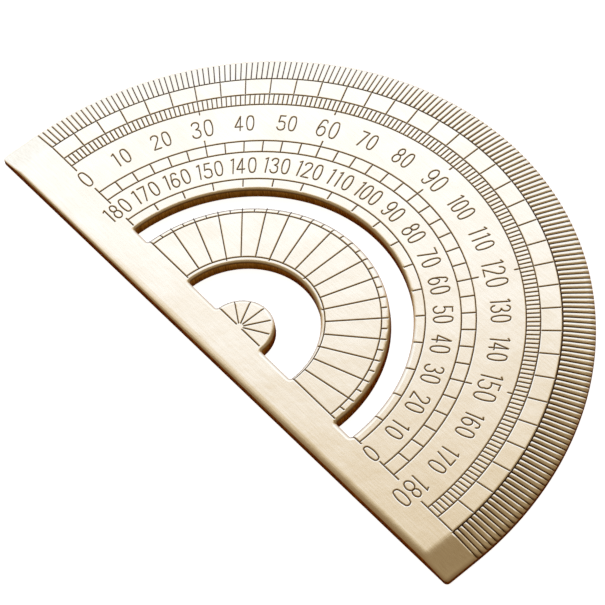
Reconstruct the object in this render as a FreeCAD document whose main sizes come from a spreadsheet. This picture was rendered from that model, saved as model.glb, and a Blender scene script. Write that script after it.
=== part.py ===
"""A brass semicircular protractor: one stamped plate with dark enamel in its engraved scales.

Millimetres. The origin is the angle's vertex (the engraved centre mark) on the flat back face.
+X runs along the baseline to the outer scale's 180, +Y to 90, and +Z out of the engraved face.
The plate is blanked and pierced by one die, which sits a little off the engraving.
"""
import FreeCAD
import Part
import math
import os

import Sketcher
from FreeCAD import Placement, Rotation, Vector

# name, value in millimetres or degrees, what it is
DIMENSIONS = [
    ("rim_radius", 50.0, "outer edge of the half circle"),
    ("plate_thickness", 1.6, "sheet thickness"),
    ("bar_width", 5.45, "from the baseline down to the right end of the straight edge"),
    ("bar_width_left", 6.55, "the same at its left end: the edge is sheared a little askew"),
    ("corner_radius", 0.6, "the two corners of the bar"),
    ("die_shift_x", 0.3, "blanking die off the engraving, to the right"),
    ("die_shift_y", 0.2, "blanking die off the engraving, downwards"),
    ("bevel_radius", 45.8, "where the rim starts to slope"),
    ("bevel_drop", 0.7, "how far the slope falls at the rim"),
    ("slot_outer_radius", 24.65, "outer edge of the arched slot"),
    ("slot_inner_radius", 21.4, "inner edge of the arched slot"),
    ("eye_outer_radius", 11.55, "outer edge of the half round window"),
    ("eye_inner_radius", 5.05, "half disc that carries the centre mark"),
    ("window_sill", 0.38, "from the baseline down to the windows' straight edges"),
    ("window_corner", 0.35, "corners of the windows"),
    ("edge_round", 0.25, "rounded upper edges"),
    ("line_width", 0.15, "engraved lines and strokes of the numerals"),
    ("rim_tick_width", 0.25, "degree ticks on the sloping rim"),
    ("rim_proud", 0.01, "enamel of those ticks above the brass"),
    ("line_depth", 0.2, "depth of the engraving"),
    ("ring_a", 45.5, "ring between the rim ticks and the five degree cells"),
    ("ring_b", 42.46, "ring between the five degree cells and the inner ticks"),
    ("ring_c", 40.48, "inner end of the inner ticks"),
    ("ring_d", 33.51, "outer ring of the middle ladder"),
    ("ring_e", 31.43, "inner ring of the middle ladder"),
    ("ring_f", 26.38, "ring beside the arched slot"),
    ("ring_g", 20.22, "outer ring of the fan"),
    ("ring_h", 12.21, "inner ring of the fan"),
    ("seam", 0.03, "brass left between two groups of lines that all but meet"),
    ("rim_margin", 0.35, "from the end of the rim ticks to the rim"),
    ("outer_stub", 0.7, "thirty degree stubs inside ring_c"),
    ("outer_baseline_stub", 1.25, "baseline stubs inside ring_c"),
    ("ladder_stub", 1.0, "thirty degree stubs outside ring_d"),
    ("ladder_baseline_stub", 0.75, "baseline stubs inside ring_e"),
    ("slot_tick_end", 25.15, "inner end of the ticks beside the slot"),
    ("band_baseline_stub", 0.35, "baseline stubs outside ring_f"),
    ("fan_tick_end", 20.75, "outer end of the fan's ticks"),
    ("centre_gap", 0.65, "bare spot about the vertex"),
    ("centre_line_end", 4.38, "outer end of the centre lines"),
    ("outer_numeral_radius", 36.93, "middle of the outer numerals"),
    ("inner_numeral_radius", 28.86, "middle of the inner numerals"),
    ("numeral_height", 2.7, "height between the strokes' middles"),
    ("major_numeral_height", 3.05, "the same for multiples of thirty on the outer scale"),
]

doc = FreeCAD.newDocument("Protractor")
sheet = doc.addObject("Spreadsheet::Sheet", "dims")
for row, (alias, value, note) in enumerate(DIMENSIONS, start=1):
    sheet.set(f"A{row}", note)
    sheet.set(f"B{row}", str(value))
    sheet.setAlias(f"B{row}", alias)
doc.recompute()


def dim(alias):
    """A driving dimension's value, for a sketch's first guess and for the numerals."""
    return float(sheet.get(alias))


# ---------------------------------------------------------------- sketch helpers
def new_body(label):
    body = doc.addObject("PartDesign::Body", label)
    body.Label = label
    body.AllowCompound = True
    return body


def origin_feature(body, role):
    return next(item for item in body.Origin.OriginFeatures if item.Role == role)


def new_sketch(body, name, plane):
    sketch = body.newObject("Sketcher::SketchObject", name)
    sketch.AttachmentSupport = [(origin_feature(body, plane), "")]
    sketch.MapMode = "FlatFace"
    return sketch


def named(sketch, constraint, name, expression):
    """Add a dimension to a sketch and bind it to the sheet."""
    index = sketch.addConstraint(constraint)
    sketch.renameConstraint(index, name)
    sketch.setExpression(f"Constraints.{name}", expression)


def polygon(sketch, points):
    """Lines through the points, closed, with their ends joined."""
    first = sketch.GeometryCount
    count = len(points)
    for i, (x, y) in enumerate(points):
        next_x, next_y = points[(i + 1) % count]
        sketch.addGeometry(Part.LineSegment(Vector(x, y, 0), Vector(next_x, next_y, 0)))
    for i in range(count):
        sketch.addConstraint(Sketcher.Constraint("Coincident", first + i, 2, first + (i + 1) % count, 1))
    return first


def place_corner(sketch, line, name, x_expression, y_expression, x, y):
    """Hold the start of a line at a place in the sketch, both coordinates positive."""
    named(sketch, Sketcher.Constraint("DistanceX", -1, 1, line, 1, x), name + "_x", x_expression)
    named(sketch, Sketcher.Constraint("DistanceY", -1, 1, line, 1, y), name + "_z", y_expression)


def value_of(expression):
    """The value of an expression of the sheet's names, worked out by the sheet."""
    return float(sheet.evalExpression(expression.replace("dims.", "")))


def section(body, name, corners):
    """A closed section in the body's XZ plane; corners are pairs of sheet expressions."""
    sketch = new_sketch(body, name, "XZ_Plane")
    values = [(value_of(x), value_of(z)) for x, z in corners]
    first = polygon(sketch, values)
    for i, (x, z) in enumerate(corners):
        place_corner(sketch, first + i, f"p{i}", x, z, *values[i])
    return sketch


# ---------------------------------------------------------------- the engraved lines
TOP = "dims.plate_thickness"
FLOOR = "dims.plate_thickness - dims.line_depth"
HALF_LINE = "dims.line_width / 2"
SLOPE = "dims.bevel_drop / (dims.rim_radius - dims.bevel_radius)"


def flat_section(body, name, inner, outer):
    """Section of a line engraved in the flat face, between two radii."""
    return section(body, name, [(inner, FLOOR), (outer, FLOOR), (outer, TOP), (inner, TOP)])


def sloped_section(body, name, outer):
    """Section of a rim tick: from the middle of ring_a over the crease and down the slope.

    Its flat top would only touch the cone of the slope, so it stands a little proud of it.
    """
    fall = f"({outer} - dims.bevel_radius) * {SLOPE}"
    corners = [
        ("dims.ring_a", FLOOR),
        ("dims.bevel_radius", FLOOR),
        (outer, f"{FLOOR} - {fall}"),
        (outer, f"{TOP} - {fall} + dims.rim_proud"),
        ("dims.bevel_radius", f"{TOP} + dims.rim_proud"),
        ("dims.ring_a", f"{TOP} + dims.rim_proud"),
    ]
    return section(body, name, corners)


def ring(body, name, radius):
    """A half ring of line width about the vertex."""
    profile = flat_section(body, name + "_section", f"{radius} - {HALF_LINE}", f"{radius} + {HALF_LINE}")
    turn = body.newObject("PartDesign::Revolution", name)
    turn.Profile = profile
    turn.ReferenceAxis = (origin_feature(body, "Z_Axis"), [""])
    turn.Angle = 180
    doc.recompute()
    if turn.Shape.BoundBox.YMin < -1:
        turn.Reversed = True


def ticks(body, name, profile, step, width="dims.line_width"):
    """One tick along +X, repeated about the vertex every step degrees from 0 to 180."""
    pad = body.newObject("PartDesign::Pad", name + "_first")
    pad.Profile = profile
    pad.SideType = "Symmetric"
    pad.setExpression("Length", width)
    doc.recompute()
    pattern = body.newObject("PartDesign::PolarPattern", name)
    pattern.Originals = [pad]
    pattern.Axis = (origin_feature(body, "Z_Axis"), [""])
    pattern.Angle = 180
    pattern.Occurrences = round(180 / step) + 1
    body.Tip = pattern
    doc.recompute()
    if pattern.Shape.BoundBox.YMin < -1:
        pattern.Reversed = True
        doc.recompute()


def radial_lines(body, name, inner, outer, step):
    """Ticks in the flat face between two radii."""
    ticks(body, name, flat_section(body, name + "_section", inner, outer), step)


def end_lines(body, name, inner, outer):
    """The two ticks on the baseline, at 0 and 180."""
    radial_lines(body, name, inner, outer, 180)


rim_degree_lines = new_body("rim_degree_lines")
ring(rim_degree_lines, "ring_a_line", "dims.ring_a")
rim_end = "dims.rim_radius - dims.rim_margin"
ticks(rim_degree_lines, "rim_ticks", sloped_section(rim_degree_lines, "rim_tick_section", rim_end), 1,
      "dims.rim_tick_width")

five_degree_lines = new_body("five_degree_lines")
radial_lines(five_degree_lines, "five_degree_ticks",
             f"dims.ring_b + {HALF_LINE} + dims.seam", f"dims.ring_a - {HALF_LINE} - dims.seam", 5)

inner_degree_ladder = new_body("inner_degree_ladder")
ring(inner_degree_ladder, "ring_b_line", "dims.ring_b")
ring(inner_degree_ladder, "ring_c_line", "dims.ring_c")
radial_lines(inner_degree_ladder, "thirty_degree_stubs",
             "dims.ring_c - dims.outer_stub", "dims.ring_c", 30)
end_lines(inner_degree_ladder, "baseline_stubs",
          "dims.ring_c - dims.outer_baseline_stub", "dims.ring_c")
radial_lines(inner_degree_ladder, "degree_ticks", "dims.ring_c", "dims.ring_b", 1)

middle_ladder = new_body("middle_ladder")
ring(middle_ladder, "ring_d_line", "dims.ring_d")
ring(middle_ladder, "ring_e_line", "dims.ring_e")
radial_lines(middle_ladder, "ladder_stubs", "dims.ring_d", "dims.ring_d + dims.ladder_stub", 30)
end_lines(middle_ladder, "ladder_baseline_stubs",
          "dims.ring_e - dims.ladder_baseline_stub", "dims.ring_e")
radial_lines(middle_ladder, "rungs", "dims.ring_e", "dims.ring_d", 5)

slot_ring_lines = new_body("slot_ring_lines")
ring(slot_ring_lines, "ring_f_line", "dims.ring_f")
end_lines(slot_ring_lines, "band_baseline_stubs",
          "dims.ring_f", "dims.ring_f + dims.band_baseline_stub")
radial_lines(slot_ring_lines, "slot_ticks", "dims.slot_tick_end", "dims.ring_f", 10)

fan_lines = new_body("fan_lines")
ring(fan_lines, "ring_g_line", "dims.ring_g")
ring(fan_lines, "ring_h_line", "dims.ring_h")
radial_lines(fan_lines, "fan_blades", "dims.ring_h", "dims.fan_tick_end", 10)
radial_lines(fan_lines, "fan_short_ticks", "dims.ring_g", "dims.fan_tick_end", 5)

centre_lines = new_body("centre_lines")
radial_lines(centre_lines, "centre_rays", "dims.centre_gap", "dims.centre_line_end", 30)


# ---------------------------------------------------------------- the numerals
# Each digit is drawn in a box one unit high, about x = 0, as a list of strokes.
# An oval is (half width, half height, middle's height). A path starts at a point and goes on
# by a line to (x, y), or by an arc through (x, y) to (x, y).
GLYPHS = {
    "0": [("oval", 0.2, 0.5, 0.5)],
    "1": [("path", (-0.12, 0.92), (0.0, 1.0), (0.0, 0.0))],
    "2": [("path", (-0.19, 0.79), (0.0, 1.0, 0.19, 0.8), (0.165, 0.64, 0.09, 0.5), (-0.2, 0.0),
           (0.2, 0.0))],
    "3": [("path", (-0.18, 0.84), (0.0, 1.0, 0.165, 0.79), (0.12, 0.62, 0.0, 0.54),
           (0.14, 0.47, 0.2, 0.28), (0.0, 0.0, -0.2, 0.19))],
    "4": [("path", (0.07, 1.0), (-0.21, 0.27), (0.2, 0.27)), ("path", (0.07, 1.0), (0.07, 0.0))],
    "5": [("path", (0.16, 1.0), (-0.12, 1.0), (-0.15, 0.56), (0.08, 0.6, 0.2, 0.32),
           (0.0, 0.0, -0.2, 0.18))],
    "6": [("oval", 0.2, 0.29, 0.29),
          ("path", (0.16, 0.86), (0.02, 1.0, -0.12, 0.84), (-0.185, 0.57, -0.2, 0.29))],
    "7": [("path", (-0.19, 1.0), (0.19, 1.0), (-0.07, 0.0))],
    "8": [("oval", 0.165, 0.235, 0.765), ("oval", 0.2, 0.28, 0.28)],
    "9": [("oval", 0.2, 0.29, 0.71),
          ("path", (-0.16, 0.14), (-0.02, 0.0, 0.12, 0.16), (0.185, 0.43, 0.2, 0.71))],
}
EXTENTS = {"1": (-0.12, 0.0)}      # left and right of a digit; the others are as wide as "0"
PLAIN_EXTENT = (-0.2, 0.2)
DIGIT_GAP = 0.23                   # between two digits, as a share of the height
LOOSE_GAP = 0.34                   # after the ones of 10 and 110
LOOSE_NUMBERS = ("10", "110")
OVAL_END = 0.75                    # radius of an oval's ends, as a share of its half width


def oval_wire(half_width, half_height, end_radius, middle):
    """An oval of four tangent arcs about (0, middle)."""
    reach = half_height - end_radius
    side_radius = (half_width ** 2 + reach ** 2 - end_radius ** 2) / (2 * (half_width - end_radius))
    side_centre = side_radius - half_width
    lean = math.atan2(reach, side_centre)
    join_x = end_radius * math.cos(lean)
    join_y = reach + end_radius * math.sin(lean)
    top = Part.Arc(Vector(join_x, middle + join_y, 0), Vector(0, middle + half_height, 0),
                   Vector(-join_x, middle + join_y, 0))
    left = Part.Arc(Vector(-join_x, middle + join_y, 0), Vector(-half_width, middle, 0),
                    Vector(-join_x, middle - join_y, 0))
    bottom = Part.Arc(Vector(-join_x, middle - join_y, 0), Vector(0, middle - half_height, 0),
                      Vector(join_x, middle - join_y, 0))
    right = Part.Arc(Vector(join_x, middle - join_y, 0), Vector(half_width, middle, 0),
                     Vector(join_x, middle + join_y, 0))
    return Part.Wire([arc.toShape() for arc in (top, left, bottom, right)])


def oval_face(half_width, half_height, middle, pen):
    """The stroke of a pen that follows an oval."""
    end = OVAL_END * half_width
    half = pen / 2
    outer = oval_wire(half_width + half, half_height + half, end + half, middle)
    inner = oval_wire(half_width - half, half_height - half, end - half, middle)
    return Part.Face(outer).cut(Part.Face(inner)).Faces[0]


def bar_face(start, end, pen):
    """The stroke of a round pen along one straight line."""
    along = end.sub(start).normalize()
    side = Vector(-along.y, along.x, 0) * (pen / 2)
    cap = along * (pen / 2)
    edges = [
        Part.LineSegment(start - side, end - side).toShape(),
        Part.Arc(end - side, end + cap, end + side).toShape(),
        Part.LineSegment(end + side, start + side).toShape(),
        Part.Arc(start + side, start - cap, start - side).toShape(),
    ]
    return Part.Face(Part.Wire(edges))


def path_face(steps, height, pen):
    """The stroke of a round pen along lines and arcs."""
    if len(steps) == 2:
        return bar_face(Vector(*steps[0], 0) * height, Vector(*steps[1], 0) * height, pen)
    here = Vector(steps[0][0] * height, steps[0][1] * height, 0)
    edges = []
    for step in steps[1:]:
        there = Vector(step[-2] * height, step[-1] * height, 0)
        if len(step) == 2:
            edges.append(Part.LineSegment(here, there).toShape())
        else:
            through = Vector(step[0] * height, step[1] * height, 0)
            edges.append(Part.Arc(here, through, there).toShape())
        here = there
    return Part.Face(Part.Wire(edges).makeOffset2D(pen / 2, 0, False, False))


def digit_face(digit, height, pen):
    """A digit's strokes as one face in the XY plane, standing on y = 0."""
    faces = []
    for stroke in GLYPHS[digit]:
        if stroke[0] == "oval":
            half_width, half_height, middle = (height * size for size in stroke[1:])
            faces.append(oval_face(half_width, half_height, middle, pen))
        else:
            faces.append(path_face(stroke[1:], height, pen))
    whole = faces[0]
    for face in faces[1:]:
        whole = whole.fuse(face)
    return whole.removeSplitter().Faces[0]


def digit_places(text):
    """Where each digit's own x = 0 falls, so that the number's extent is centred on zero."""
    gap = LOOSE_GAP if text in LOOSE_NUMBERS else DIGIT_GAP
    cursor = 0.0
    places = []
    for digit in text:
        left, right = EXTENTS.get(digit, PLAIN_EXTENT)
        places.append(cursor - left)
        cursor += right - left + (gap if digit == "1" else DIGIT_GAP)
    width = cursor - (gap if text[-1] == "1" else DIGIT_GAP)
    return [place - width / 2 for place in places]


def numeral_solids(text, angle, radius, height):
    """A number that stands on a circle about the vertex, its top outwards."""
    pen = dim("line_width")
    depth = dim("line_depth")
    floor = dim("plate_thickness") - depth
    turn = Placement(Vector(0, 0, 0), Rotation(Vector(0, 0, 1), angle - 90))
    solids = []
    for digit, place in zip(text, digit_places(text)):
        solid = digit_face(digit, height, pen).extrude(Vector(0, 0, depth))
        solid.translate(Vector(place * height, radius - height / 2, floor))
        solids.append(solid.transformed(turn.toMatrix()))
    return solids


def numeral_node(label, radius, number_at, height_of):
    """All the numbers of one scale, every ten degrees."""
    solids = []
    for angle in range(0, 181, 10):
        number = number_at(angle)
        solids += numeral_solids(str(number), angle, radius, height_of(number))
    node = doc.addObject("Part::Feature", label)
    node.Label = label
    node.Shape = Part.Compound(solids)
    node.Placement = Placement()
    return node


def outer_height(number):
    return dim("major_numeral_height") if number % 30 == 0 else dim("numeral_height")


outer_numerals = numeral_node("outer_numerals", dim("outer_numeral_radius"),
                              lambda angle: 180 - angle, outer_height)
inner_numerals = numeral_node("inner_numerals", dim("inner_numeral_radius"),
                              lambda angle: angle, lambda number: dim("numeral_height"))

# ---------------------------------------------------------------- the brass plate
blank = new_body("plate_blank")


def die_arc(sketch, name, radius, bottom):
    """An upper arc about the die's centre, from the height y = -bottom on the right to the left."""
    shift_x = dim("die_shift_x")
    shift_y = dim("die_shift_y")
    size = dim(radius)
    start = math.asin((shift_y - bottom) / size)
    circle = Part.Circle(Vector(shift_x, -shift_y, 0), Vector(0, 0, 1), size)
    arc = sketch.addGeometry(Part.ArcOfCircle(circle, start, math.pi - start))
    named(sketch, Sketcher.Constraint("DistanceX", -1, 1, arc, 3, shift_x), name + "_x",
          "dims.die_shift_x")
    named(sketch, Sketcher.Constraint("DistanceY", arc, 3, -1, 1, shift_y), name + "_y",
          "dims.die_shift_y")
    named(sketch, Sketcher.Constraint("Radius", arc, size), name + "_radius", "dims." + radius)
    return arc


def line(sketch, start, end):
    return sketch.addGeometry(Part.LineSegment(Vector(*start, 0), Vector(*end, 0)))


def join(sketch, first, first_end, second, second_end):
    sketch.addConstraint(Sketcher.Constraint("Coincident", first, first_end, second, second_end))


def outline_sketch():
    """The half circle and the bar below it."""
    sketch = new_sketch(blank, "outline", "XY_Plane")
    right = dim("die_shift_x") + dim("rim_radius")
    left = dim("die_shift_x") - dim("rim_radius")
    shoulder = -dim("die_shift_y")
    left_drop = dim("bar_width_left")
    right_drop = dim("bar_width")
    arc = die_arc(sketch, "rim", "rim_radius", dim("die_shift_y"))
    left_end = line(sketch, (left, shoulder), (left, -left_drop))
    straight_edge = line(sketch, (left, -left_drop), (right, -right_drop))
    right_end = line(sketch, (right, -right_drop), (right, shoulder))
    join(sketch, arc, 2, left_end, 1)
    join(sketch, left_end, 2, straight_edge, 1)
    join(sketch, straight_edge, 2, right_end, 1)
    join(sketch, right_end, 2, arc, 1)
    sketch.addConstraint(Sketcher.Constraint("Vertical", left_end))
    sketch.addConstraint(Sketcher.Constraint("Vertical", right_end))
    sketch.addConstraint(Sketcher.Constraint("Horizontal", arc, 1, arc, 3))
    named(sketch, Sketcher.Constraint("DistanceY", straight_edge, 1, -1, 1, left_drop),
          "left_drop", "dims.bar_width_left")
    named(sketch, Sketcher.Constraint("DistanceY", straight_edge, 2, -1, 1, right_drop),
          "right_drop", "dims.bar_width")
    return sketch


def window_sketch(name, outer_radius, inner_radius):
    """An arched window between two arcs of the die, closed by two straight sills."""
    sketch = new_sketch(blank, name, "XY_Plane")
    sill = dim("window_sill")
    shift_x = dim("die_shift_x")
    drop = sill - dim("die_shift_y")
    outer = die_arc(sketch, "outer", outer_radius, sill)
    inner = die_arc(sketch, "inner", inner_radius, sill)
    outer_half = math.sqrt(dim(outer_radius) ** 2 - drop ** 2)
    inner_half = math.sqrt(dim(inner_radius) ** 2 - drop ** 2)
    right = line(sketch, (shift_x + inner_half, -sill), (shift_x + outer_half, -sill))
    left = line(sketch, (shift_x - outer_half, -sill), (shift_x - inner_half, -sill))
    join(sketch, inner, 1, right, 1)
    join(sketch, right, 2, outer, 1)
    join(sketch, outer, 2, left, 1)
    join(sketch, left, 2, inner, 2)
    for number, sill_line in enumerate((right, left), start=1):
        sketch.addConstraint(Sketcher.Constraint("Horizontal", sill_line))
        named(sketch, Sketcher.Constraint("DistanceY", sill_line, 1, -1, 1, sill), f"sill{number}",
              "dims.window_sill")
    return sketch


def removes(feature, volume_before, least):
    """Whether a cut takes off at least so many cubic millimetres."""
    shape = feature.Shape
    return not shape.isNull() and shape.Volume < volume_before - least


def check_cut(feature, volume_before, least=1.0):
    """A cut that points away from the solid removes nothing, so it is turned round."""
    doc.recompute()
    if not removes(feature, volume_before, least):
        feature.Reversed = True
        doc.recompute()
    if not removes(feature, volume_before, least):
        raise RuntimeError(feature.Name + " cuts nothing")


def bevel_section(name):
    """What the bevel takes off: a triangle that opens outwards from the crease."""
    beyond = "dims.rim_radius + 2"
    fall = f"({beyond} - dims.bevel_radius) * {SLOPE}"
    corners = [("dims.bevel_radius", TOP), (beyond, f"{TOP} - {fall}"), (beyond, f"{TOP} + 1"),
               ("dims.bevel_radius", f"{TOP} + 1")]
    return section(blank, name, corners)


def edges_where(shape, test):
    return [f"Edge{i}" for i, edge in enumerate(shape.Edges, start=1) if test(edge)]


def is_upright(edge):
    """An edge that runs straight up the sheet's thickness."""
    box = edge.BoundBox
    return box.XLength < 1e-4 and box.YLength < 1e-4 and box.ZLength > 0.1


def below_bar(edge):
    return edge.BoundBox.YMax < -dim("bar_width") + 1e-4


def is_bar_corner(edge):
    return is_upright(edge) and below_bar(edge)


def in_windows(edge):
    """Inside the ring beside the slot, and above the bar."""
    centre = edge.BoundBox.Center
    return math.hypot(centre.x, centre.y) < dim("ring_f") and centre.y > -dim("window_sill") - 0.01


def on_face(edge):
    """An edge of the flat engraved face."""
    box = edge.BoundBox
    return box.ZLength < 1e-4 and abs(box.ZMin - dim("plate_thickness")) < 1e-4


def is_window_corner(edge):
    return is_upright(edge) and in_windows(edge)


def is_rounded_edge(edge):
    """The upper edges of the windows and the straight edge of the bar between the creases."""
    return on_face(edge) and (in_windows(edge) or below_bar(edge))


def round_off(name, edges, radius):
    """Fillet edges of the sheet so far by one of the sheet's radii."""
    base = blank.Tip
    fillet = blank.newObject("PartDesign::Fillet", name)
    fillet.Base = (base, edges)
    fillet.setExpression("Radius", "dims." + radius)
    blank.Tip = fillet
    doc.recompute()


sheet_metal = blank.newObject("PartDesign::Pad", "sheet_metal")
sheet_metal.Profile = outline_sketch()
sheet_metal.setExpression("Length", "dims.plate_thickness")
doc.recompute()
round_off("bar_corners", edges_where(blank.Shape, is_bar_corner), "corner_radius")

volume = blank.Shape.Volume
rim_bevel = blank.newObject("PartDesign::Groove", "rim_bevel")
rim_bevel.Profile = bevel_section("rim_bevel_section")
rim_bevel.ReferenceAxis = (origin_feature(blank, "Z_Axis"), [""])
rim_bevel.Angle = 180
check_cut(rim_bevel, volume, least=100.0)

volume = rim_bevel.Shape.Volume
end_bevel = blank.newObject("PartDesign::Pocket", "end_bevel")
end_bevel.Profile = bevel_section("end_bevel_section")
end_bevel.setExpression("Length", "dims.bar_width_left + 1")
check_cut(end_bevel, volume)

volume = end_bevel.Shape.Volume
both_ends = blank.newObject("PartDesign::Mirrored", "both_ends")
both_ends.Originals = [end_bevel]
both_ends.MirrorPlane = (origin_feature(blank, "YZ_Plane"), [""])
blank.Tip = both_ends
doc.recompute()
if not removes(both_ends, volume, 1.0):
    raise RuntimeError("the far end of the bar has no bevel")

for window, outer_edge, inner_edge in (("slot", "slot_outer_radius", "slot_inner_radius"),
                                       ("eye", "eye_outer_radius", "eye_inner_radius")):
    volume = blank.Tip.Shape.Volume
    opening = blank.newObject("PartDesign::Pocket", window)
    opening.Profile = window_sketch(window + "_outline", outer_edge, inner_edge)
    opening.Type = "ThroughAll"
    check_cut(opening, volume)

round_off("window_corners", edges_where(blank.Shape, is_window_corner), "window_corner")
round_off("rounded_edges", edges_where(blank.Shape, is_rounded_edge), "edge_round")

enamel = [rim_degree_lines, five_degree_lines, inner_degree_ladder, outer_numerals, middle_ladder,
          inner_numerals, slot_ring_lines, fan_lines, centre_lines]
engraving = doc.addObject("Part::Compound", "engraving")
engraving.Links = enamel
brass_plate = doc.addObject("Part::Cut", "brass_plate")
brass_plate.Label = "brass_plate"
brass_plate.Base = blank
brass_plate.Tool = engraving
doc.recompute()

# ---------------------------------------------------------------- checks and output
nodes = [brass_plate] + enamel
for item in doc.Objects:
    if "Invalid" in item.State or "Error" in item.State:
        raise RuntimeError(f"{item.Name} is {item.State}")
for node in nodes:
    if node.Shape.isNull() or not node.Shape.isValid() or node.Shape.Volume <= 0:
        raise RuntimeError(f"{node.Label} has no valid solid")

os.makedirs("parts", exist_ok=True)
for node in nodes:
    node.Shape.exportStep(f"parts/{node.Label}.step")
    print(node.Label, len(node.Shape.Solids), "solids", round(node.Shape.Volume, 3), "mm3")
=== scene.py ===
"""Looks of the brass semicircular protractor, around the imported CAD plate.

Lengths are in millimetres in the CAD frame, with the angle's vertex at x = y = 0 and the engraved
face up, and become metres in new_piece(). The plate's upper face is one height field over a
constrained triangulation: every engraved stroke, rounded edge and crease is a set of parallel lines,
and face_height() gives the surface above any point. The enamel in the strokes uses the same lines.
"""
import math

import bpy
import numpy as np
from mathutils import Matrix, Vector
from mathutils.geometry import delaunay_2d_cdt, tessellate_polygon


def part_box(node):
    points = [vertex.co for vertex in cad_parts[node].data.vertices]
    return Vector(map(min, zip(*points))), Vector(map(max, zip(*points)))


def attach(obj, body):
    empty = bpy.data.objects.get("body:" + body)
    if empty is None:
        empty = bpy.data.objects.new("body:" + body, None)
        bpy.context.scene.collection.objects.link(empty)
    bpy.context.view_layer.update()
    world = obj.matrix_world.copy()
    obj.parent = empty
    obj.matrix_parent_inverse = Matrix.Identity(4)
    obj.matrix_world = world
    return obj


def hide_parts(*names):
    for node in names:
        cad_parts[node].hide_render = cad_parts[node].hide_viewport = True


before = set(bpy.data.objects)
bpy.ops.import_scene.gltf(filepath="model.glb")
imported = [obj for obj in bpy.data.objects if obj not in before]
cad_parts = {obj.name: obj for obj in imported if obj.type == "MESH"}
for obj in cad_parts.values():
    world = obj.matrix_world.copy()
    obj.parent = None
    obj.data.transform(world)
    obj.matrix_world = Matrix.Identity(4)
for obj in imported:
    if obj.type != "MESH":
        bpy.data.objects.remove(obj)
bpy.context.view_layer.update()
MM = 0.001

# ---------------------------------------------------------------- sizes
plate_low, plate_high = (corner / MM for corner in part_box("brass_plate"))
THICKNESS = plate_high.z
RIM_RADIUS = (plate_high.x - plate_low.x) / 2
DIE_X = (plate_high.x + plate_low.x) / 2       # the blanking die's centre, a little off the engraving
DIE_Y = plate_high.y - RIM_RADIUS
BAR_LEFT, BAR_RIGHT = 6.55, 5.45               # from the baseline down to the ends of the straight edge
BAR_CORNER = 0.6
BEVEL_RADIUS = 45.8
BEVEL_SLOPE = 0.7 / (50.0 - BEVEL_RADIUS)
CREASE_SOFTNESS = 0.75                         # half the width over which the slope begins
SLOT = (24.65, 21.4)                           # outer and inner radius of the arched slot
EYE = (11.55, 5.05)                            # the same of the half round window
SILL = 0.38                                    # the windows' straight edges, below the baseline
WINDOW_CORNER = 0.35

RING_A, RING_B, RING_C = 45.5, 42.46, 40.48
RING_D, RING_E, RING_F = 33.51, 31.43, 26.38
RING_G, RING_H = 20.22, 12.21
OUTER_NUMERALS, INNER_NUMERALS = 36.93, 28.86
NUMERAL_HEIGHT, MAJOR_HEIGHT = 2.7, 3.05

LINE_HALF = 0.075                              # half the width of an engraved line
RIM_HALF_INSIDE, RIM_HALF_OUTSIDE = 0.115, 0.07  # the ticks on the slope narrow towards the rim
RIM_LEFT_SHARE = 0.72                          # the ticks at the left are this much narrower inside
PAST_RIM = RIM_RADIUS + 1.5                    # the rim's ticks run out through the edge
RIM_TICK_START = 0.14                          # from the middle of ring A to the first point of a rim tick
FIVE_DEGREE_GAP = 0.18                         # from the rings' middles to the ends of the lines between
OUTER_STUB, OUTER_BASELINE_STUB = 0.7, 1.25    # inside ring C, every thirty degrees and on the baseline
LADDER_STUB, LADDER_BASELINE_STUB = 1.0, 0.75  # outside ring D, and on the baseline inside ring E
BAND_BASELINE_STUB = 0.35                      # outside ring F
SLOT_TICK_END = 25.05
FAN_BLADE_END, FAN_TICK_END, FAN_STUB_END = 21.1, 21.0, 11.95
CENTRE_GAP, CENTRE_LINE_END = 0.65, 4.5
SMALLEST_CORNER = 0.15                         # what a bar corner shrinks to as the outline moves in

# The metal beside a stroke bends down into it, ever steeper, over a reach from the stroke's side.
SIDE_DEPTH = {"line": 0.035, "rim": 0.058}
SIDE_REACH = {"line": 0.14, "rim": 0.26}
FLOOR_STEP = -0.02                             # where the line inside the stroke's side runs
FLOOR_FROM = -0.01                             # points further inside than this lie on the groove's floor
SIDE_STEPS = (0.0, 0.4, 1.05)                  # shares of the reach that get lines of their own
GROOVE_DEPTH = 0.2
ENAMEL_STEPS = (-0.05, -0.005)
ENAMEL_BELOW = (0.03, 0.01)                    # its top, below the stroke's side, at those steps
ENAMEL_FLOOR = 0.19
ENAMEL_SETBACK = 0.25                          # enamel stops this far before the rim
EDGE_SHARES = (0.0, 0.08, 0.2, 0.36, 0.6, 1.0)  # shares of a rolled edge's reach that get lines
CREASE_STEPS = (-CREASE_SOFTNESS, -CREASE_SOFTNESS / 3, CREASE_SOFTNESS / 3, CREASE_SOFTNESS)
SHARP_DEGREES = 42                             # creases between faces are hard from this angle on
SPLIT_DEGREES = 30                             # a digit's run of points ends at a turn above this
WELD = 5e-4                                    # points nearer than this become one
SLOPE_STEP = 0.003                             # half the distance over which a slope is taken
FAR = 1e3                                      # stands for a distance that wasn't looked up
CELL = 2.0                                     # side of the square cells that sort the strokes
STROKE_SEARCH = 0.6                            # how far from a stroke its distance has to be right
METAL_FACE, SHEARED_FACE = 0, 1                # which of the plate's two materials a face takes

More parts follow.
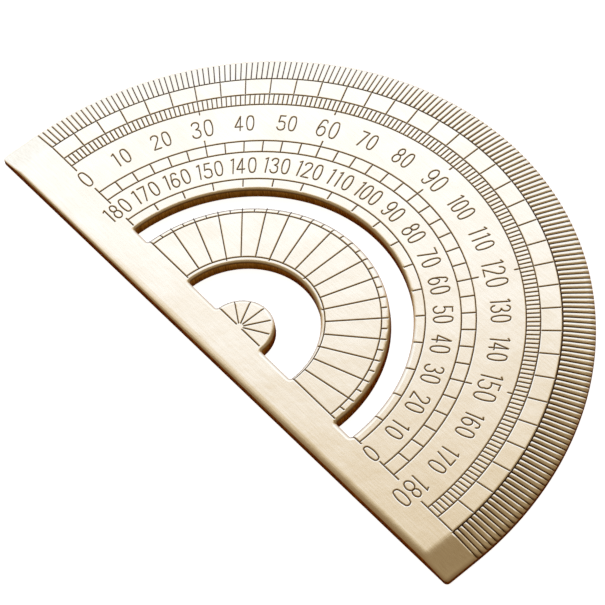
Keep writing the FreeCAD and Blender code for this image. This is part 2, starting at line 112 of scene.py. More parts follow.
# ---------------------------------------------------------------- colours, camera and light
BRASS_LIGHT, BRASS_DARK = (0.91, 0.785, 0.56), (0.87, 0.735, 0.505)
# painted shade: the brass is mixed towards this dark brown down into the strokes and over the rolled edges
BRASS_PAINTED_SHADE = (0.42, 0.24, 0.1)
PAINTED_SHADE_FROM, PAINTED_SHADE_DEPTH = 0.03, 0.1        # how deep the metal has bent where its painted shade starts, and over what depth it deepens
ROLLED_FROM, ROLLED_DARK = 0.02, 0.16          # how far an edge has fallen where its painted shade starts, and over what fall it deepens
WHITE = (1.0, 1.0, 1.0)
STREAK_TINT = (0.93, 0.915, 0.885)             # multiplies the brass along its brushed scratches
# painted shade: the sheared walls' dark brown, between the drag marks' darker and lighter tones
EDGE_SHADED_LIGHT, EDGE_SHADED_DARK = (0.24, 0.11, 0.025), (0.1, 0.042, 0.007)
EDGE_GLANCE_SHADE = (0.3, 0.16, 0.06, 1)             # painted shade: tints and dims the sheared walls' glancing reflections
EDGE_FOOT_SHADOW = (0.6, 0.5, 0.4)                     # painted shadow: multiplies the walls' colours at their foot
FOOT_LOW, FOOT_HIGH = 0.25, 0.75               # shares of the thickness over which that fades out
ENAMEL_LIGHT, ENAMEL_DARK = (0.17, 0.078, 0.017), (0.09, 0.037, 0.006)
# painted shade: the dark golden brown laid in the rim ticks' grooves stands for the shade in them
RIM_SHADE_LIGHT, RIM_SHADE_DARK = (0.1, 0.043, 0.008), (0.05, 0.019, 0.003)
ENAMEL_SPECULAR = 0.12
BRASS_ROUGH, SHEARED_ROUGH, ENAMEL_ROUGH = (0.13, 0.2), (0.38, 0.6), (0.5, 0.8)
BUMP_STRENGTH = 0.5
MOTTLE_BUMP, GRAIN_BUMP = 0.00008, 0.000008    # bump heights, in metres
DRAG_BUMP, SPECK_BUMP = 0.000006, 0.00001

CAMERA_PLACE = (176.907, -91.305, 283.314)
CAMERA_TARGET = (3.068, 9.158, 1.6)
CAMERA_ROLL = -11.673
CAMERA_LENS = 145.18

KEY_PLACE, KEY_AIM, KEY_SIZE, KEY_POWER = (-430, 300, 450), (-10, 20, 0), (380, 380), 0.05
# The room's colour against the cosine of a direction's angle from its bright side.
BRIGHT_SIDE = (-0.8, 0.56, 0.3)
ROOM_SHADES = ((0.0, (0.13, 0.075, 0.03)), (0.35, (0.4, 0.33, 0.23)), (0.5, (0.34, 0.27, 0.18)),
               (0.63, (0.35, 0.28, 0.19)), (0.67, (0.5, 0.43, 0.32)), (0.71, (0.88, 0.82, 0.72)),
               (0.745, (0.97, 0.95, 0.97)), (0.77, (1.04, 1.07, 1.22)), (0.79, (1.08, 1.22, 1.66)),
               (0.815, (1.16, 1.37, 1.92)), (1.0, (1.16, 1.33, 1.76)))
KEY_COLOUR = (1.0, 0.98, 0.95)
PAPER_DARK, PAPER_LIGHT = (0.9, 0.9, 0.9), (0.94, 0.94, 0.94)
FLOOR_HALF = 3000
FLOOR_GLOW = 0.92                              # the paper is lit from below, as on a light table


# ---------------------------------------------------------------- strokes of the engraving
def polar(radius, angle):
    return np.array([radius * math.cos(math.radians(angle)), radius * math.sin(math.radians(angle))])


class Stroke:
    """A polyline that the engraver's tool follows, with a half width at each point.

    A free end is round. One that isn't free meets another stroke or runs past an edge.
    """

    def __init__(self, points, free=(True, True), kind="line", halves=LINE_HALF):
        self.points = np.array(points, float)
        self.halves = np.broadcast_to(halves, len(self.points))
        self.free = free
        self.kind = kind


def ring(radius, free=(False, False)):
    step = 1 if radius > RING_D else 3
    return [Stroke([polar(radius, angle) for angle in range(0, 181, step)], free)]


def ticks(inner, outer, step, free=(False, False)):
    """Radial lines, one every step degrees. The ends are the inner and the outer one."""
    angles = np.arange(0, 180 + step / 2, step)
    return [Stroke([polar(inner, a), polar(outer, a)], free) for a in angles]


def rim_ticks():
    """The degree ticks on the slope, from the ring at its foot out through the edge."""
    strokes = []
    for angle in range(0, 181):
        inside = RIM_HALF_INSIDE * (1 - (1 - RIM_LEFT_SHARE) * angle / 180)
        ends = [polar(RING_A + RIM_TICK_START, angle), polar(PAST_RIM, angle)]
        strokes.append(Stroke(ends, (False, False), "rim", (inside, RIM_HALF_OUTSIDE)))
    return strokes


def arc_points(start, through, end, step=24.0):
    """Points of the arc from start through a point to end, one every few degrees."""
    (ax, ay), (bx, by), (cx, cy) = start, through, end
    d = 2 * (ax * (by - cy) + bx * (cy - ay) + cx * (ay - by))
    a2, b2, c2 = ax * ax + ay * ay, bx * bx + by * by, cx * cx + cy * cy
    ux = (a2 * (by - cy) + b2 * (cy - ay) + c2 * (ay - by)) / d
    uy = (a2 * (cx - bx) + b2 * (ax - cx) + c2 * (bx - ax)) / d
    radius = math.hypot(ax - ux, ay - uy)
    first = math.atan2(ay - uy, ax - ux)
    middle = (math.atan2(by - uy, bx - ux) - first) % (2 * math.pi)
    sweep = (math.atan2(cy - uy, cx - ux) - first) % (2 * math.pi)
    if middle > sweep:
        sweep -= 2 * math.pi
    count = max(3, math.ceil(abs(math.degrees(sweep)) / step))
    turns = [first + sweep * i / count for i in range(count + 1)]
    return [(ux + radius * math.cos(t), uy + radius * math.sin(t)) for t in turns]


# Each digit is drawn in a box one unit high, about x = 0. An oval is (half width, half height,
# middle's height). A path goes on by a line to (x, y), or by an arc through (x, y) to (x, y).
GLYPHS = {
    "0": [("oval", 0.2, 0.5, 0.5)],
    "1": [("path", (-0.12, 0.92), (0.0, 1.0), (0.0, 0.0))],
    "2": [("path", (-0.19, 0.79), (0.0, 1.0, 0.19, 0.8), (0.165, 0.64, 0.09, 0.5), (-0.2, 0.0),
           (0.2, 0.0))],
    "3": [("path", (-0.18, 0.84), (0.0, 1.0, 0.165, 0.79), (0.12, 0.62, 0.0, 0.54),
           (0.14, 0.47, 0.2, 0.28), (0.0, 0.0, -0.2, 0.19))],
    "4": [("path", (0.07, 1.0), (-0.21, 0.27), (0.2, 0.27)), ("path", (0.07, 1.0), (0.07, 0.0))],
    "5": [("path", (0.16, 1.0), (-0.12, 1.0), (-0.15, 0.56), (0.08, 0.6, 0.2, 0.32),
           (0.0, 0.0, -0.2, 0.18))],
    "6": [("oval", 0.2, 0.29, 0.29),
          ("path", (0.16, 0.86), (0.02, 1.0, -0.12, 0.84), (-0.185, 0.57, -0.2, 0.29))],
    "7": [("path", (-0.19, 1.0), (0.19, 1.0), (-0.07, 0.0))],
    "8": [("oval", 0.165, 0.235, 0.765), ("oval", 0.2, 0.28, 0.28)],
    "9": [("oval", 0.2, 0.29, 0.71),
          ("path", (-0.16, 0.14), (-0.02, 0.0, 0.12, 0.16), (0.185, 0.43, 0.2, 0.71))],
}
EXTENTS = {"1": (-0.12, 0.0)}                  # a digit's left and right, where not as below
PLAIN_EXTENT = (-0.2, 0.2)
DIGIT_GAP = 0.23                               # between one digit's right and the next one's left
LOOSE_GAP = 0.34                               # the same after a 1 in these numbers
LOOSE_NUMBERS = ("10", "110")
OVAL_END = 0.75                                # radius of an oval's end arcs, in half widths


def oval_points(half_width, half_height, middle):
    """An oval of four tangent arcs about (0, middle), closed."""
    end = OVAL_END * half_width
    reach = half_height - end
    side = (half_width ** 2 + reach ** 2 - end ** 2) / (2 * (half_width - end))
    lean = math.atan2(reach, side - half_width)
    x, y = end * math.cos(lean), reach + end * math.sin(lean)
    top = arc_points((x, middle + y), (0, middle + half_height), (-x, middle + y), 20)
    left = arc_points((-x, middle + y), (-half_width, middle), (-x, middle - y), 8)
    bottom = arc_points((-x, middle - y), (0, middle - half_height), (x, middle - y), 20)
    right = arc_points((x, middle - y), (half_width, middle), (x, middle + y), 8)
    return top + left[1:] + bottom[1:] + right[1:]


def glyph_runs(digit):
    """The digit's smooth runs of points: a path is split where it turns a sharp corner."""
    runs = []
    for kind, *steps in GLYPHS[digit]:
        if kind == "oval":
            runs.append(oval_points(*steps))
            continue
        run = [steps[0]]
        for step in steps[1:]:
            piece = [run[-1], step] if len(step) == 2 else arc_points(run[-1], step[:2], step[2:])
            if len(run) > 1 and turn_between(run[-2:], piece[:2]) > SPLIT_DEGREES:
                runs.append(run)
                run = [piece[0]]
            run = run + piece[1:]
        runs.append(run)
    return runs


def turn_between(first, second):
    """Degrees between two directions, each given by two points."""
    a = math.atan2(first[1][1] - first[0][1], first[1][0] - first[0][0])
    b = math.atan2(second[1][1] - second[0][1], second[1][0] - second[0][0])
    return abs((math.degrees(b - a) + 180) % 360 - 180)


def digit_places(text):
    """Where each digit's own x = 0 falls, so that the number's extent is centred on zero."""
    after_one = LOOSE_GAP if text in LOOSE_NUMBERS else DIGIT_GAP
    cursor, places = 0.0, []
    for digit in text:
        left, right = EXTENTS.get(digit, PLAIN_EXTENT)
        places.append(cursor - left)
        cursor += right - left + (after_one if digit == "1" else DIGIT_GAP)
    width = cursor - DIGIT_GAP
    return [place - width / 2 for place in places]


def number_strokes(text, angle, radius, height):
    """A number that stands on a circle about the vertex, its top outwards."""
    up = polar(1.0, angle)
    right = np.array([up[1], -up[0]])
    strokes = []
    for digit, place in zip(text, digit_places(text)):
        for run in glyph_runs(digit):
            points = [right * (x + place) * height + up * (radius + (y - 0.5) * height) for x, y in run]
            closed = math.dist(run[0], run[-1]) < 1e-6
            strokes.append(Stroke(points, (not closed, not closed)))
    return strokes


def numerals(radius, number_at, height_of):
    strokes = []
    for angle in range(0, 181, 10):
        number = number_at(angle)
        strokes += number_strokes(str(number), angle, radius, height_of(number))
    return strokes


BOTH_FREE = (True, True)
FREE_INSIDE = (True, False)
FREE_OUTSIDE = (False, True)
ENGRAVING = {
    "rim_degree_lines": ring(RING_A, free=BOTH_FREE) + rim_ticks(),
    "five_degree_lines": ticks(RING_B + FIVE_DEGREE_GAP, RING_A - FIVE_DEGREE_GAP, 5, free=BOTH_FREE),
    "inner_degree_ladder": ring(RING_B) + ring(RING_C) + ticks(RING_C, RING_B, 1)
    + ticks(RING_C - OUTER_STUB, RING_C, 30, free=FREE_INSIDE)
    + ticks(RING_C - OUTER_BASELINE_STUB, RING_C, 180, free=FREE_INSIDE),
    "outer_numerals": numerals(OUTER_NUMERALS, lambda angle: 180 - angle,
                               lambda number: NUMERAL_HEIGHT if number % 30 else MAJOR_HEIGHT),
    "middle_ladder": ring(RING_D) + ring(RING_E) + ticks(RING_E, RING_D, 5)
    + ticks(RING_D, RING_D + LADDER_STUB, 30, free=FREE_OUTSIDE)
    + ticks(RING_E - LADDER_BASELINE_STUB, RING_E, 180, free=FREE_INSIDE),
    "inner_numerals": numerals(INNER_NUMERALS, lambda angle: angle, lambda number: NUMERAL_HEIGHT),
    "slot_ring_lines": ring(RING_F) + ticks(SLOT_TICK_END, RING_F, 10, free=FREE_INSIDE)
    + ticks(RING_F, RING_F + BAND_BASELINE_STUB, 180, free=FREE_OUTSIDE),
    "fan_lines": ring(RING_G) + ring(RING_H) + ticks(RING_H, FAN_BLADE_END, 10, free=FREE_OUTSIDE)
    + ticks(RING_G, FAN_TICK_END, 5, free=FREE_OUTSIDE)
    + ticks(FAN_STUB_END, RING_H, 30, free=FREE_INSIDE),
    "centre_lines": ticks(CENTRE_GAP, CENTRE_LINE_END, 30, free=BOTH_FREE),
}


# ---------------------------------------------------------------- the plate's outline
def sampled_arc(centre, radius, first, last, longest=0.8):
    """Points along an arc between two angles in degrees, either way round."""
    count = max(4, math.ceil(abs(math.radians(last - first)) * radius / longest))
    return [centre + polar(radius, first + (last - first) * i / count) for i in range(count + 1)]


def outline(inset):
    """The plate's outer edge, moved inwards, anticlockwise. Its straight edge runs a little askew."""
    radius = RIM_RADIUS - inset
    corner = max(BAR_CORNER - inset, SMALLEST_CORNER)
    rise = (BAR_LEFT - BAR_RIGHT) / (2 * RIM_RADIUS)
    lean = 270 + math.degrees(math.atan(rise))

    def corner_centre(x):
        return np.array([x, rise * (x - DIE_X) - (BAR_LEFT + BAR_RIGHT) / 2 + inset + corner])

    points = sampled_arc(np.array([DIE_X, DIE_Y]), radius, 0, 180)
    points += sampled_arc(corner_centre(DIE_X - radius + corner), corner, 180, lean)
    points += sampled_arc(corner_centre(DIE_X + radius - corner), corner, lean, 360)
    return np.array(points)


def window_loop(window, inset):
    """A window's edge, moved outwards into the metal: two arcs of the die and two straight sills."""
    outer, inner = window[0] + inset, window[1] - inset
    corner = WINDOW_CORNER + inset
    low = -SILL - inset + corner - DIE_Y
    centre = np.array([DIE_X, DIE_Y])
    outer_x = math.sqrt((outer - corner) ** 2 - low ** 2)
    inner_x = math.sqrt((inner + corner) ** 2 - low ** 2)
    outer_lean = math.degrees(math.atan2(low, outer_x))
    inner_lean = math.degrees(math.atan2(low, inner_x))

    def at(x):
        return centre + np.array([x, low])

    points = sampled_arc(centre, outer, outer_lean, 180 - outer_lean)
    points += sampled_arc(at(-outer_x), corner, 180 - outer_lean, 270)
    points += sampled_arc(at(-inner_x), corner, 270, 360 - inner_lean)
    points += sampled_arc(centre, inner, 180 - inner_lean, inner_lean)
    points += sampled_arc(at(inner_x), corner, 180 + inner_lean, 270)
    points += sampled_arc(at(outer_x), corner, 270, 360 + outer_lean)
    return np.array(points)


def slot(inset):
    return window_loop(SLOT, inset)


def eye(inset):
    return window_loop(EYE, inset)


# Stamping rolls the upper edges over. For each edge: how far in from it the fall starts and how far it
# falls, each at the left and at the right end of the plate, and the function that gives its line.
EDGES = [
    ((0.4, 1.15), (0.08, 0.13), outline),
    ((0.55, 0.65), (0.2, 0.22), slot),
    ((0.55, 0.6), (0.2, 0.2), eye),
]


# ---------------------------------------------------------------- lines of the triangulation
class Lines:
    """Points and edges that a triangulation has to hold."""

    def __init__(self):
        self.points = []
        self.edges = []

    def add(self, points, closed=False):
        first = len(self.points)
        self.points.extend(points)
        last = len(self.points) - 1
        self.edges.extend((i, i + 1) for i in range(first, last))
        if closed:
            self.edges.append((last, first))

    def triangulate(self):
        """Points, and anticlockwise triangles."""
        corners = [Vector((float(p[0]), float(p[1]))) for p in self.points]
        points, _, faces, *_ = delaunay_2d_cdt(corners, self.edges, [], 0, WELD)
        return np.array([tuple(p) for p in points]), np.array(faces)


def vertex_normals(points, closed):
    """The left-hand normal at each point of a polyline, lengthened at a corner as a mitre is."""
    along = np.diff(points, axis=0)
    along /= np.linalg.norm(along, axis=1)[:, None]
    left = np.stack([-along[:, 1], along[:, 0]], axis=1)
    first = left[-1] if closed else left[0]
    last = left[0] if closed else left[-1]
    before = np.vstack([first, left])
    after = np.vstack([left, last])
    both = before + after
    both /= np.linalg.norm(both, axis=1)[:, None]
    return both / np.maximum((both * before).sum(1), 0.7)[:, None]


def add_parallels(lines, stroke, distance):
    """Adds the lines at a distance from both sides of a stroke, joined round its free ends."""
    points = stroke.points
    offset = (stroke.halves + distance)[:, None]
    closed = len(points) > 2 and math.dist(points[0], points[-1]) < 1e-6
    normals = vertex_normals(points, closed)
    left, right = points + offset * normals, points - offset * normals
    if closed:
        lines.add(left[:-1], closed=True)
        lines.add(right[:-1], closed=True)
        return
    end_cap = cap(points[-1], points[-1] - points[-2], offset[-1])
    start_cap = cap(points[0], points[0] - points[1], offset[0])
    if all(stroke.free):
        lines.add([*left, *end_cap, *right[::-1], *start_cap], closed=True)
    elif stroke.free[1]:
        lines.add([*left, *end_cap, *right[::-1]])
    elif stroke.free[0]:
        lines.add([*right[::-1], *start_cap, *left])
    else:
        lines.add(left)
        lines.add(right)


def cap(end, outward, offset):
    """The half circle round a free end, from its left side to its right, without those two points."""
    out = outward / np.linalg.norm(outward)
    left = np.array([-out[1], out[0]])
    turns = [math.radians(turn) for turn in (30, 60, 90, 120, 150)]
    return [end + offset * (math.cos(turn) * left + math.sin(turn) * out) for turn in turns]


# ---------------------------------------------------------------- distances and heights
def nearest(points, starts, ends, first_halves, last_halves, reach):
    """Distance of each point from the side of the nearest stroke, negative inside it.

    Segments are sorted into square cells, so a distance beyond reach may come out as FAR.
    """
    low = np.floor((np.minimum(starts, ends) - reach) / CELL).astype(int)
    high = np.floor((np.maximum(starts, ends) + reach) / CELL).astype(int)
    cells = {}
    for index, (corner, other) in enumerate(zip(low.tolist(), high.tolist())):
        for i in range(corner[0], other[0] + 1):
            for j in range(corner[1], other[1] + 1):
                cells.setdefault((i, j), []).append(index)
    homes = {}
    for index, home in enumerate(map(tuple, np.floor(points / CELL).astype(int).tolist())):
        homes.setdefault(home, []).append(index)
    result = np.full(len(points), FAR)
    for home, here in homes.items():
        if home not in cells:
            continue
        these = cells[home]
        start, along = starts[these], ends[these] - starts[these]
        length2 = np.maximum((along ** 2).sum(1), 1e-12)
        offset = points[here][:, None, :] - start[None]
        share = np.clip((offset * along[None]).sum(2) / length2, 0, 1)
        gap = offset - share[..., None] * along[None]
        half = first_halves[these] + share * (last_halves - first_halves)[these]
        result[here] = (np.sqrt((gap ** 2).sum(2)) - half).min(1)
    return result


def stroke_distance(points, strokes):
    """Distance from the side of the nearest stroke, negative inside it."""
    starts = np.concatenate([stroke.points[:-1] for stroke in strokes])
    ends = np.concatenate([stroke.points[1:] for stroke in strokes])
    first_halves = np.concatenate([stroke.halves[:-1] for stroke in strokes])
    last_halves = np.concatenate([stroke.halves[1:] for stroke in strokes])
    return nearest(points, starts, ends, first_halves, last_halves, STROKE_SEARCH)


def edge_fall(points):
    """How far the rolled upper edges have dropped below the sheet's face."""
    fall = np.zeros(len(points))
    ends = (-RIM_RADIUS, RIM_RADIUS)
    for reaches, drops, loop in EDGES:
        reach, drop = np.interp(points[:, 0], ends, reaches), np.interp(points[:, 0], ends, drops)
        edge = loop(0.0)
        nothing = np.zeros(len(edge))
        distance = nearest(points, edge, np.roll(edge, -1, axis=0), nothing, nothing, max(reaches))
        share = np.clip(1 - distance / reach, 0, 1)
        fall = np.maximum(fall, drop * share ** 2)
    return fall


def face_height(points):
    """The plate's upper face without its engraving: flat, then the sloping rim, and rolled edges."""
    radius = np.hypot(points[:, 0], points[:, 1])
    reach = np.where(points[:, 1] >= 0, radius, np.abs(points[:, 0])) - BEVEL_RADIUS
    soft = (reach + CREASE_SOFTNESS) ** 2 / (4 * CREASE_SOFTNESS)
    past = np.where(reach < CREASE_SOFTNESS, soft, reach)
    slope = BEVEL_SLOPE * np.where(reach < -CREASE_SOFTNESS, 0, past)
    return THICKNESS - slope - edge_fall(points)


def bend(points):
    """How far the metal has bent down beside the strokes, and the distance from the nearest one's side."""
    depth = np.zeros(len(points))
    distances = []
    for kind, side_depth in SIDE_DEPTH.items():
        distance = stroke_distance(points, [stroke for stroke in all_strokes() if stroke.kind == kind])
        share = np.maximum(1 - distance / SIDE_REACH[kind], 0)
        depth = np.maximum(depth, side_depth * share ** 2)
        distances.append(distance)
    return depth, np.min(distances, axis=0)


def slope_normals(points):
    """Unnormalised upward normals of the bent metal, without the strokes' floors."""
    slopes = []
    for shift in ((SLOPE_STEP, 0), (0, SLOPE_STEP)):
        ahead, behind = points + shift, points - shift
        rise = face_height(ahead) - bend(ahead)[0] - face_height(behind) + bend(behind)[0]
        slopes.append(rise / (2 * SLOPE_STEP))
    return np.column_stack([-slopes[0], -slopes[1], np.ones(len(points))])


def inside_loop(points, loop):
    """Even-odd test of points against one closed polygon."""
    inside = np.zeros(len(points), bool)
    for (ax, ay), (bx, by) in zip(loop, np.roll(loop, -1, axis=0)):
        if ay == by:
            continue
        crosses = (points[:, 1] < ay) != (points[:, 1] < by)
        inside ^= crosses & (points[:, 0] < ax + (points[:, 1] - ay) * (bx - ax) / (by - ay))
    return inside


def on_plate(points):
    return inside_loop(points, outline(0)) & ~inside_loop(points, slot(0)) & ~inside_loop(points, eye(0))


# ---------------------------------------------------------------- meshes
def used_only(points, faces):
    """Drops the points that no face uses."""
    used, renumbered = np.unique(faces, return_inverse=True)
    return points[used], renumbered.reshape(faces.shape)


def border_loops(faces):
    """The directed border of a set of triangles, as closed runs of point numbers."""
    directed = {(int(a), int(b)) for face in faces for a, b in zip(face, np.roll(face, -1))}
    following = {}
    for a, b in directed:
        if (b, a) not in directed:
            following.setdefault(a, []).append(b)
    runs = []
    while following:
        start = min(following)
        run = [start]
        while True:
            choices = following[run[-1]]
            step = choices.pop()
            if not choices:
                del following[run[-1]]
            if step == start:
                break
            run.append(step)
        runs.append(run)
    return runs


def new_piece(name, points, faces, materials, numbers=None):
    """Makes an object of millimetre points. The numbers say which material each face takes."""
    mesh = bpy.data.meshes.new(name)
    mesh.from_pydata((np.asarray(points) * MM).tolist(), [], [list(map(int, face)) for face in faces])
    mesh.validate()
    mesh.update()
    piece = bpy.data.objects.new(name, mesh)
    bpy.context.scene.collection.objects.link(piece)
    for material in materials:
        mesh.materials.append(material)
    mesh.polygons.foreach_set("use_smooth", [True] * len(mesh.polygons))
    if numbers is not None:
        mesh.polygons.foreach_set("material_index", numbers)
    mesh.set_sharp_from_angle(angle=math.radians(SHARP_DEGREES))
    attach(piece, "root")
    return piece


def lay_normals(mesh, normals):
    """Shades the mesh by these normals at its points, and as usual where they are zero."""
    corners = np.zeros(len(mesh.loops), int)
    mesh.loops.foreach_get("vertex_index", corners)
    lengths = np.maximum(np.linalg.norm(normals, axis=1), 1e-9)
    mesh.normals_split_custom_set((normals / lengths[:, None])[corners].tolist())


def all_strokes():
    return [stroke for group in ENGRAVING.values() for stroke in group]


def plate_lines():
    """Everything the plate's upper face has to follow."""
    lines = Lines()
    for reaches, _, loop in EDGES:
        for share in EDGE_SHARES:
            lines.add(loop(share * max(reaches)), closed=True)
    for step in CREASE_STEPS:
        reach = BEVEL_RADIUS + step
        arc = [polar(reach, angle) for angle in range(0, 181)]
        lines.add([np.array([reach, -BAR_LEFT - 1]), *arc, np.array([-reach, -BAR_LEFT - 1])])
    for stroke in all_strokes():
        for distance in [FLOOR_STEP] + [share * SIDE_REACH[stroke.kind] for share in SIDE_STEPS]:
            add_parallels(lines, stroke, distance)
    for angle in range(0, 180):
        lines.add([polar(RING_C + 0.5, angle + 0.5), polar(RING_B - 0.5, angle + 0.5)])
    return lines


def build_plate(brass, sheared):
    """The whole sheet as one closed mesh: engraved face, upright walls and plain underside."""
    flat, faces = plate_lines().triangulate()
    faces = faces[on_plate(flat[faces].mean(1))]
    flat, faces = used_only(flat, faces)
    depth, distance = bend(flat)
    depth = np.where(distance < FLOOR_FROM, GROOVE_DEPTH, depth)
    rolled = edge_fall(flat)
    top = np.column_stack([flat, face_height(flat) - depth])
    runs = border_loops(faces)
    border = np.concatenate(runs)
    back = np.column_stack([flat[border], np.zeros(len(border))])
    points = np.vstack([top, back])
    walls, first = [], len(top)
    for run in runs:
        below = list(range(first, first + len(run)))
        walls += [(a, c, d, b) for a, b, c, d in zip(run, run[1:] + run[:1], below, below[1:] + below[:1])]
        first += len(run)
    under = np.array(tessellate_polygon([[Vector((*flat[i], 0)) for i in run] for run in runs]))
    sides = flat[border][under[:, 1:]] - flat[border][under[:, :1]]
    if np.cross(sides[:, 0], sides[:, 1]).sum() > 0:
        under = under[:, ::-1]
    mesh_faces = faces.tolist() + walls + (under + len(top)).tolist()
    numbers = [METAL_FACE] * len(faces) + [SHEARED_FACE] * len(walls) + [METAL_FACE] * len(under)
    piece = new_piece("plate_shell", points, mesh_faces, [brass, sheared], numbers)
    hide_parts("brass_plate")
    # The "engraved" attribute is painted shade: it darkens the brass where the metal bends into a stroke
    # and where an edge rolls over.
    shade = np.zeros(len(points))
    painted_shade = np.maximum((depth - PAINTED_SHADE_FROM) / PAINTED_SHADE_DEPTH, (rolled - ROLLED_FROM) / ROLLED_DARK)
    shade[:len(flat)] = np.clip(painted_shade, 0, 1)
    attribute = piece.data.attributes.new("engraved", "FLOAT", "POINT")
    attribute.data.foreach_set("value", shade)
    normals = np.zeros((len(points), 3))
    normals[:len(flat)][rolled == 0] = slope_normals(flat[rolled == 0])
    lay_normals(piece.data, normals)


def build_enamel(node, strokes, enamel):
    """The enamel of one group of strokes: one mesh that lies in the grooves."""
    lines = Lines()
    for stroke in strokes:
        for distance in ENAMEL_STEPS:
            add_parallels(lines, stroke, distance)
    lines.add(outline(ENAMEL_SETBACK), closed=True)
    flat, faces = lines.triangulate()
    middles = flat[faces].mean(1)
    in_stroke = stroke_distance(middles, strokes) < ENAMEL_STEPS[-1]
    flat, faces = used_only(flat, faces[in_stroke & inside_loop(middles, outline(ENAMEL_SETBACK))])
    height = face_height(flat)
    upper = np.full(len(flat), -FAR)
    for kind in sorted({stroke.kind for stroke in strokes}):
        distance = stroke_distance(flat, [stroke for stroke in strokes if stroke.kind == kind])
        below = SIDE_DEPTH[kind] + np.interp(distance, ENAMEL_STEPS, ENAMEL_BELOW)
        upper = np.maximum(upper, np.where(distance < 0, height - below, -FAR))
    points = np.vstack([np.column_stack([flat, upper]), np.column_stack([flat, height - ENAMEL_FLOOR])])
    count = len(flat)
    walls = []
    for run in border_loops(faces):
        walls += [(a, a + count, b + count, b) for a, b in zip(run, run[1:] + run[:1])]
    mesh_faces = faces.tolist() + (faces[:, ::-1] + count).tolist() + walls
    piece = new_piece("enamel_" + node, points, mesh_faces, [enamel])
    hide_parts(node)


# ---------------------------------------------------------------- materials
def set_stops(ramp, stops):
    elements = ramp.color_ramp.elements
    for element, (position, colour) in zip(elements, (stops[0], stops[-1])):
        element.position = position
        element.color = (*colour, 1)
    for position, colour in stops[1:-1]:
        elements.new(position).color = (*colour, 1)


class Nodes:
    """Short forms for building one material's nodes."""

    def __init__(self, name):
        self.material = bpy.data.materials.new(name)
        self.material.use_nodes = True
        self.tree = self.material.node_tree
        self.shader = self.tree.nodes["Principled BSDF"]

    def add(self, kind, **values):
        node = self.tree.nodes.new(kind)
        for key, value in values.items():
            setattr(node, key, value)
        return node

    def link(self, output, target):
        self.tree.links.new(output, target)

    def noise(self, scale, stretch, detail):
        """Noise over the object's own metres, stretched along an axis by a small factor."""
        place = self.add("ShaderNodeTexCoord")
        mapping = self.add("ShaderNodeMapping")
        mapping.inputs["Scale"].default_value = stretch
        texture = self.add("ShaderNodeTexNoise")
        texture.inputs["Scale"].default_value = scale
        texture.inputs["Detail"].default_value = detail
        self.link(place.outputs["Object"], mapping.inputs["Vector"])
        self.link(mapping.outputs["Vector"], texture.inputs["Vector"])
        return texture.outputs["Fac"]

    def height(self, low, high):
        """0 below a share of the sheet's thickness, rising to 1 at another share."""
        place = self.add("ShaderNodeTexCoord")
        split = self.add("ShaderNodeSeparateXYZ")
        node = self.add("ShaderNodeMapRange")
        node.inputs["From Min"].default_value = low * THICKNESS * MM
        node.inputs["From Max"].default_value = high * THICKNESS * MM
        self.link(place.outputs["Object"], split.inputs["Vector"])
        self.link(split.outputs["Z"], node.inputs["Value"])
        return node.outputs["Result"]

    def ramp(self, value, *stops):
        """A colour ramp through (position, colour) stops."""
        ramp = self.add("ShaderNodeValToRGB")
        set_stops(ramp, stops)
        self.link(value, ramp.inputs["Fac"])
        return ramp.outputs["Color"]

    def spread(self, value, low, high):
        """Maps 0..1 to low..high."""
        node = self.add("ShaderNodeMapRange")
        node.inputs["To Min"].default_value = low
        node.inputs["To Max"].default_value = high
        self.link(value, node.inputs["Value"])
        return node.outputs["Result"]

    def mix(self, share, first, second, blend="MIX"):
        node = self.add("ShaderNodeMix", data_type="RGBA", blend_type=blend)
        for socket, value in ((0, share), (6, first), (7, second)):
            if isinstance(value, bpy.types.NodeSocket):
                self.link(value, node.inputs[socket])
            else:
                node.inputs[socket].default_value = value
        return node.outputs[2]

    def bump(self, height, distance, normal=None):
        node = self.add("ShaderNodeBump")
        node.inputs["Distance"].default_value = distance
        node.inputs["Strength"].default_value = BUMP_STRENGTH
        self.link(height, node.inputs["Height"])
        if normal is not None:
            self.link(normal, node.inputs["Normal"])
        return node.outputs["Normal"]


def brass_material():
    """Satin brass, finely brushed along the baseline, a little mottled, with painted shade beside the
    strokes and on the rolled edges.
    """
    nodes = Nodes("satin_brass")
    shader = nodes.shader
    shader.inputs["Metallic"].default_value = 1.0
    grain = nodes.noise(4200, (0.07, 1, 1), 5)
    mottle = nodes.noise(160, (1, 1, 1), 5)
    blotch = nodes.ramp(mottle, (0.3, BRASS_DARK), (0.7, BRASS_LIGHT))
    streak = nodes.ramp(grain, (0.3, STREAK_TINT), (0.65, WHITE))
    tone = nodes.mix(1.0, blotch, streak, "MULTIPLY")
    # painted shade, read from the "engraved" attribute
    near = nodes.add("ShaderNodeAttribute", attribute_name="engraved")
    painted_shade = nodes.spread(near.outputs["Fac"], 0.0, 0.9)
    colour = nodes.mix(painted_shade, tone, (*BRASS_PAINTED_SHADE, 1))
    nodes.link(colour, shader.inputs["Base Color"])
    nodes.link(nodes.spread(grain, *BRASS_ROUGH), shader.inputs["Roughness"])
    wave = nodes.bump(mottle, MOTTLE_BUMP)
    nodes.link(nodes.bump(grain, GRAIN_BUMP, wave), shader.inputs["Normal"])
    return nodes.material


